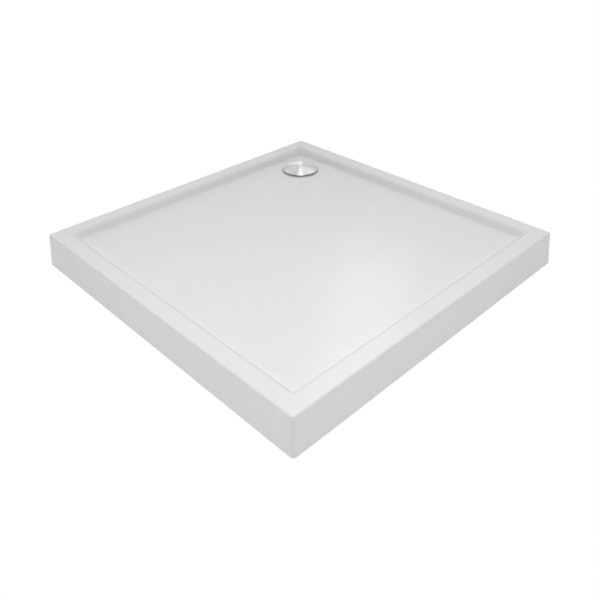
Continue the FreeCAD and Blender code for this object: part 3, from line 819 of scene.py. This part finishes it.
def board_material(colours):
    """Pressed chips: flat flakes of mixed tone, a grain over them and fine dust between them."""
    material, nodes, shader, place = new_material("board")
    flake = nodes.cell_tone(nodes.place(place, (1, 1, 2.5)), 170.0)
    streak = nodes.noise(nodes.place(place, (1, 6, 1)), 240.0, 3.0, 0.6)
    dust = nodes.noise(place, 1400.0, 3.0, 0.7)
    tone = nodes.shades(flake, colours.board, 0.62, 1.35)
    tone = nodes.blend(nodes.fit(streak, 0.35, 0.7, 0, 0.5), tone, rgba(colours.board, 0.8))
    tone = nodes.blend(nodes.fit(dust, 0.4, 0.7, 0, 0.35), tone, rgba(colours.board, 0.5))
    dress(nodes, shader, tone, nodes.fit(flake, 0, 1, 0.7, 0.88),
          nodes.maths("ADD", flake, dust), 0.25 * MM, 0.6)
    return material


def timber_material(name, colours, turn):
    """Sawn softwood: rings drawn out along the batten, saw marks across it and a few knots."""
    material, nodes, shader, place = new_material(name)
    along = nodes.place(place, turn=(0, 0, turn))
    wander = nodes.noise(nodes.place(along, (2.5, 30, 30)), 1.0, 2.0)
    rings = nodes.noise(nodes.place(along, (0.9, 24, 24)), 8.0, 5.0, 0.62, 0.8)
    years = nodes.maths("MULTIPLY", nodes.maths("ADD", rings, wander), 38.0)
    band = nodes.fit(nodes.maths("SINE", years), -1, 1)
    fibre = nodes.noise(nodes.place(along, (4, 260, 260)), 4.0, 4.0, 0.65)
    knot = nodes.cells(nodes.place(along, (5, 16, 16)), 1.0, "Distance")
    tone = nodes.shades(nodes.maths("MULTIPLY", band, 0.45), colours.timber, 1.12, 0.62)
    tone = nodes.blend(nodes.fit(fibre, 0.35, 0.75, 0, 0.4), tone, rgba(colours.timber, 0.75))
    tone = nodes.blend(nodes.fit(knot, 0.1, 0.16, 1.0, 0.0), tone, rgba(colours.timber, 0.25))
    saw = nodes.noise(nodes.place(along, (420, 20, 20)), 1.0, 2.0)
    height = nodes.maths("ADD", fibre, nodes.maths("MULTIPLY", saw, 0.8))
    dress(nodes, shader, tone, nodes.fit(fibre, 0.3, 0.8, 0.62, 0.85), height, 0.3 * MM, 0.7)
    return material


def zinc_material(colours):
    """Bright zinc plate: a crystal pattern in tone and sheen, with a mottle and a fine relief."""
    material, nodes, shader, place = new_material("zinc_steel")
    crystal = nodes.cell_tone(place, 190.0)
    mask = effect(nodes, "Mottle", Vector=place, Broad=25.0, Fine=380.0)
    plate = nodes.shades(crystal, colours.zinc, 0.86, 1.08)
    tone = nodes.blend(nodes.maths("MULTIPLY", mask, 0.35), plate, rgba(colours.zinc, 0.72))
    relief = effect(nodes, "Relief", Vector=place, Scale=1500.0)
    shader.inputs["Metallic"].default_value = 1.0
    dress(nodes, shader, tone, nodes.fit(nodes.maths("ADD", crystal, mask), 0, 2, 0.24, 0.46),
          relief, 0.03 * MM, 0.4)
    return material


def moulded_material(name, tint, rough, grain):
    """Moulded plastic or rubber: a fine grain over a slight waviness, and a faint mottle."""
    material, nodes, shader, place = new_material(name)
    mask = effect(nodes, "Mottle", Vector=place, Broad=18.0, Fine=220.0)
    relief = effect(nodes, "Relief", Vector=place, Scale=grain, Waviness=0.8)
    dress(nodes, shader, nodes.shades(mask, tint, 0.93, 1.05),
          nodes.fit(mask, 0, 1, rough - 0.05, rough + 0.07), relief, 0.06 * MM, 0.45)
    return material


def cover_material(colours):
    """Metal brushed round and round: tone, sheen and relief follow the distance from the axis."""
    material, nodes, shader, place = new_material("cover_metal")
    x, y, _ = nodes.parts(nodes.place(place, move=(-WASTE[0], -WASTE[1], 0)))
    reach = nodes.add("ShaderNodeVectorMath", {0: nodes.vector(x, y)},
                      operation="LENGTH").outputs["Value"]
    turn = nodes.maths("ARCTAN2", y, x)
    stroke = nodes.vector(nodes.maths("MULTIPLY", reach, 2600.0), nodes.maths("SINE", turn),
                          nodes.maths("COSINE", turn))
    lines = nodes.noise(stroke, 1.0, 3.0, 0.6)
    broad = nodes.noise(stroke, 0.13, 2.0, 0.5)
    mask = nodes.fit(nodes.maths("ADD", lines, broad), 0.7, 1.3)
    shader.inputs["Metallic"].default_value = 1.0
    shader.inputs["Anisotropic"].default_value = 0.9
    shader.inputs["Anisotropic Rotation"].default_value = 0.25
    tangent = nodes.add("ShaderNodeTangent", direction_type="RADIAL", axis="Z")
    nodes.put(shader.inputs["Tangent"], tangent.outputs[0])
    dress(nodes, shader, nodes.shades(mask, colours.cover_metal, 0.9, 1.04),
          nodes.fit(mask, 0, 1, 0.41, 0.49), lines, 0.015 * MM, 0.5)
    return material


def floor_material(glow):
    """Pale glowing floor: white to the camera, and clear from below."""
    material, nodes, shader, _ = new_material("studio_floor")
    shader.inputs["Base Color"].default_value = (0.8, 0.8, 0.8, 1)
    shader.inputs["Roughness"].default_value = 0.9
    shader.inputs["Specular IOR Level"].default_value = 0.0
    shader.inputs["Emission Color"].default_value = WHITE
    shader.inputs["Emission Strength"].default_value = glow
    white = nodes.add("ShaderNodeEmission", {"Color": WHITE, "Strength": 1.0})
    camera_ray = nodes.add("ShaderNodeLightPath").outputs["Is Camera Ray"]
    seen = nodes.add("ShaderNodeMixShader", {0: camera_ray, 1: shader.outputs[0],
                                             2: white.outputs[0]})
    back = nodes.add("ShaderNodeNewGeometry").outputs["Backfacing"]
    clear = nodes.add("ShaderNodeBsdfTransparent")
    final = nodes.add("ShaderNodeMixShader", {0: back, 1: seen.outputs[0], 2: clear.outputs[0]})
    out = material.node_tree.nodes["Material Output"]
    nodes.put(out.inputs["Surface"], final.outputs[0])
    return material


# Slots and their makers. Timber has its turn; moulded slots have colour, roughness and grain.
MAKERS = {"acrylic": acrylic_material, "laminate": laminate_material, "board": board_material,
          "zinc_steel": zinc_material, "cover_metal": cover_material}
TIMBER = {"timber": 0.0, "timber_across": math.pi / 2}
MOULDED = {"white_plastic": ("white_plastic", 0.34, 900.0),
           "grey_plastic": ("grey_plastic", 0.38, 900.0),
           "black_plastic": ("black_plastic", 0.45, 700.0),
           "seal_rubber": ("rubber", 0.62, 1500.0)}
MATERIALS = {}


def finish(name):
    """The material of a slot, made the first time it is asked for."""
    colours = bpy.context.scene.tray_colours
    if name in MATERIALS:
        return MATERIALS[name]
    if name in TIMBER:
        material = timber_material(name, colours, TIMBER[name])
    elif name in MOULDED:
        tint, rough, grain = MOULDED[name]
        material = moulded_material(name, getattr(colours, tint), rough, grain)
    else:
        material = MAKERS[name](colours)
    MATERIALS[name] = material
    return material


# ------------------------------------------------
# Operators


class TRAY_OT_sheet(bpy.types.Operator):
    """Make the formed acrylic sheet"""
    bl_idname = "tray.sheet"
    bl_label = "Formed Sheet"

    def execute(self, context):
        add_piece("tray_moulding", formed_sheet(context.scene.tray_sizes), "tray",
                  ["acrylic_shell"], "acrylic", sharp=30.0)
        return {"FINISHED"}


class TRAY_OT_laminate(bpy.types.Operator):
    """Make the sprayed laminate behind the sheet"""
    bl_idname = "tray.laminate"
    bl_label = "Laminate"

    def execute(self, context):
        add_piece("sprayed_laminate", sprayed_laminate(context.scene.tray_sizes), "tray",
                  ["fibreglass_backing"], "laminate", sharp=60.0)
        return {"FINISHED"}


class TRAY_OT_cover(bpy.types.Operator):
    """Make the domed waste cover"""
    bl_idname = "tray.cover"
    bl_label = "Waste Cover"

    def execute(self, context):
        cap = turned(cap_profile(context.scene.tray_fittings), columns=128)
        middle = node_middle("waste_cover")
        add_piece("domed_cap", moved(cap, (middle[0], middle[1], 0)), "cover", ["waste_cover"],
                  "cover_metal", sharp=50.0)
        return {"FINISHED"}


class TRAY_OT_legs(bpy.types.Operator):
    """Make the threaded rods, foot pads and nuts"""
    bl_idname = "tray.legs"
    bl_label = "Legs"

    def execute(self, context):
        fittings = context.scene.tray_fittings
        for leg in LEGS:
            low, high = node_box("leg_rod_" + leg)
            middle = (low + high) / 2
            place = (middle[0], middle[1], 0)
            radius = (high[0] - low[0]) / 2
            rod = moved(threaded_rod(low[2], high[2], radius, fittings), place)
            add_piece("threaded_rod_" + leg, rod, "foot_" + leg, ["leg_rod_" + leg],
                      "zinc_steel", sharp=80.0)
            pad_low, pad_high = node_box("foot_pad_" + leg)
            pad = foot_pad(pad_low[2], pad_high[2], (pad_high[0] - pad_low[0]) / 2, radius)
            add_piece("ribbed_pad_" + leg, moved(pad, place), "foot_" + leg, ["foot_pad_" + leg],
                      "black_plastic", sharp=40.0)
            for kind in ("adjusting_nut_", "lock_nut_"):
                nut_low, nut_high = node_box(kind + leg)
                nut = hexagon_nut(fittings.nut_flats, radius + 0.05 * MM, nut_low[2], nut_high[2])
                add_piece("hexagon_" + kind + leg, moved(nut, place), "nuts_" + leg, [kind + leg],
                          "zinc_steel", sharp=25.0)
        return {"FINISHED"}


class TRAY_OT_screws(bpy.types.Operator):
    """Make the wood screws that hold the brackets"""
    bl_idname = "tray.screws"
    bl_label = "Bracket Screws"

    def execute(self, context):
        sizes, fittings = context.scene.tray_sizes, context.scene.tray_fittings
        screw = wood_screw(fittings.screw_head, fittings.screw_dome, fittings.screw_shank,
                           fittings.screw_length)
        legs = [node_middle("leg_rod_" + leg) for leg in LEGS]
        floors = [floor_height(sizes, leg[0], leg[1]) for leg in legs]
        lowest = node_box("bracket_screws")[0][2] + fittings.screw_dome - min(floors)
        screws = [moved(screw, (leg[0] + x, leg[1] + y, floor + lowest))
                  for leg, floor in zip(legs, floors)
                  for x in (-fittings.screw_out, fittings.screw_out)
                  for y in (-fittings.screw_aside, fittings.screw_aside)]
        add_piece("cross_head_screws", joined(screws), "tray", ["bracket_screws"],
                  "zinc_steel", sharp=30.0)
        return {"FINISHED"}


class TRAY_OT_kept(bpy.types.Operator):
    """Give the packed pieces that stay as they are their finishes"""
    bl_idname = "tray.kept"
    bl_label = "Finishes of the Kept Pieces"

    def execute(self, context):
        slots = {row["node"]: row["material_slot"] for row in frame["record"]["subparts"]}
        across = ("rim_batten_back_right", "rim_batten_front_left")
        for name, node in frame["nodes"].items():
            wanted = "timber_across" if name in across else slots[name]
            for holder in node.material_slots:
                holder.material = finish(wanted)
        return {"FINISHED"}


class TRAY_OT_stage(bpy.types.Operator):
    """Set up the floor, the soft light and the camera"""
    bl_idname = "tray.stage"
    bl_label = "Stage"

    def execute(self, context):
        studio = context.scene.tray_studio
        add_floor(studio.floor_glow)
        add_light(studio)
        add_camera(studio)
        return {"FINISHED"}


# The floor's rings as half side and corner radius, and the soft lights' fixed places and sizes
FLOOR_RINGS = ((TRAY_HIGH[0] - 2 * MM, 6 * MM), (0.6, 0.1), (6.0, 2.0))
KEY_PLACE, KEY_AIM, KEY_SIZE = (-0.5, -0.5, 1.7), (-0.2, -0.2, 0.0), (1.0, 1.0)
STRIP_SIZE = (0.4, 1.2)


def add_floor(glow):
    """A wide flat floor, open where the tray hides it, so that light reaches the underside.

    It is a band through rounded squares, (h - r) s + r n, with its quads turned to face up.
    """
    s, n = square_path(side_steps=2, corner_steps=4)
    rings = [np.column_stack([(half - radius) * s + radius * n, np.zeros(len(s))])
             for half, radius in FLOOR_RINGS]
    points, _, quads = band(np.array(rings))
    mesh = bpy.data.meshes.new("studio_floor")
    mesh.from_pydata(points.tolist(), [], quads[:, [0, 3, 2, 1]].tolist())
    mesh.materials.append(floor_material(glow))
    floor = new_object("studio_floor", mesh)


def add_light(studio):
    """The sky, a soft light above the front and a narrow one over the waste.

    The sky's light differs before and behind the tray, low and high, and the camera sees white.
    """
    world = bpy.data.worlds.new("studio")
    bpy.context.scene.world = world
    world.use_nodes = True
    nodes = Nodes(world.node_tree)
    way = nodes.add("ShaderNodeTexCoord").outputs["Generated"]
    high = nodes.fit(nodes.parts(way)[2], 0.3, 0.6)
    ahead = (math.sin(studio.yaw), math.cos(studio.yaw), 0)
    behind = nodes.add("ShaderNodeVectorMath", {0: way, 1: ahead},
                       operation="DOT_PRODUCT").outputs["Value"]
    behind = nodes.add("ShaderNodeMapRange", {"Value": behind, "From Min": -0.5, "From Max": 0.5},
                       interpolation_type="SMOOTHSTEP").outputs[0]
    back = nodes.fit(high, 0.0, 1.0, studio.back_low, studio.back_high)
    front = nodes.fit(high, 0.0, 1.0, studio.front_low, studio.front_high)
    sky = world.node_tree.nodes["Background"]
    sky.inputs["Color"].default_value = WHITE
    mixed = nodes.add("ShaderNodeMix", {0: behind, 2: front, 3: back}, data_type="FLOAT")
    nodes.put(sky.inputs["Strength"], mixed.outputs[0])
    seen = nodes.add("ShaderNodeBackground", {"Color": WHITE, "Strength": 1.0})
    camera_ray = nodes.add("ShaderNodeLightPath").outputs["Is Camera Ray"]
    mix = nodes.add("ShaderNodeMixShader", {0: camera_ray, 1: sky.outputs[0], 2: seen.outputs[0]})
    nodes.put(world.node_tree.nodes["World Output"].inputs["Surface"], mix.outputs[0])
    soft_box("key", KEY_PLACE, KEY_AIM, KEY_SIZE, studio.key)
    side = studio.yaw + studio.strip_turn
    place = (WASTE[0] + studio.strip_reach * math.sin(side),
             WASTE[1] + studio.strip_reach * math.cos(side), studio.strip_height)
    soft_box("strip", place, tuple(WASTE), STRIP_SIZE, studio.strip)


def soft_box(name, place, aim, size, power):
    """An oblong lamp at a place, turned towards a point."""
    lamp = bpy.data.lights.new(name, "AREA")
    lamp.shape = "RECTANGLE"
    lamp.size, lamp.size_y = size
    lamp.energy = power
    box = new_object(name, lamp)
    box.location = place
    box.rotation_euler = (Vector(aim) - Vector(place)).to_track_quat("-Z", "Y").to_euler()


def add_camera(studio):
    """The camera at the photograph's angle, with plain display colours."""
    data = bpy.data.cameras.new("camera")
    data.sensor_width = 36.0
    data.lens = studio.lens
    data.shift_y = studio.shift
    data.clip_end = 50.0
    camera = new_object("camera", data)
    level = Euler((math.pi / 2 + studio.pitch, 0, -studio.yaw)).to_matrix()
    turn = level @ Matrix.Rotation(studio.roll, 3, "Z")
    place = Matrix.Translation((studio.camera_x, studio.camera_y, studio.camera_z))
    camera.matrix_world = place @ turn.to_4x4()
    bpy.context.scene.camera = camera
    bpy.context.scene.view_settings.view_transform = "Standard"


class TRAY_PT_panel(bpy.types.Panel):
    """Lists the tray's sizes and its operators"""
    bl_label = "Shower Tray"
    bl_idname = "TRAY_PT_panel"
    bl_space_type = "VIEW_3D"
    bl_region_type = "UI"
    bl_category = "Shower Tray"

    def draw(self, context):
        for holder, group in HOLDERS.items():
            box = self.layout.box()
            box.label(text=group.__doc__)
            for name in group.__annotations__:
                box.prop(getattr(context.scene, holder), name)
        for step in STEPS:
            self.layout.operator(step.bl_idname)


STEPS = (TRAY_OT_sheet, TRAY_OT_laminate, TRAY_OT_cover, TRAY_OT_legs, TRAY_OT_screws,
         TRAY_OT_kept, TRAY_OT_stage)
CLASSES = (*GROUPS, *STEPS, TRAY_PT_panel)


def register():
    for item in CLASSES:
        bpy.utils.register_class(item)
    for holder, group in HOLDERS.items():
        setattr(bpy.types.Scene, holder, bpy.props.PointerProperty(type=group))


def unregister():
    for holder in HOLDERS:
        delattr(bpy.types.Scene, holder)
    for item in reversed(CLASSES):
        bpy.utils.unregister_class(item)


def main():
    """Registers the classes and runs every step in order."""
    register()
    for step in STEPS:
        getattr(bpy.ops.tray, step.bl_idname.split(".")[1])()


if __name__ == "__main__":
    main()
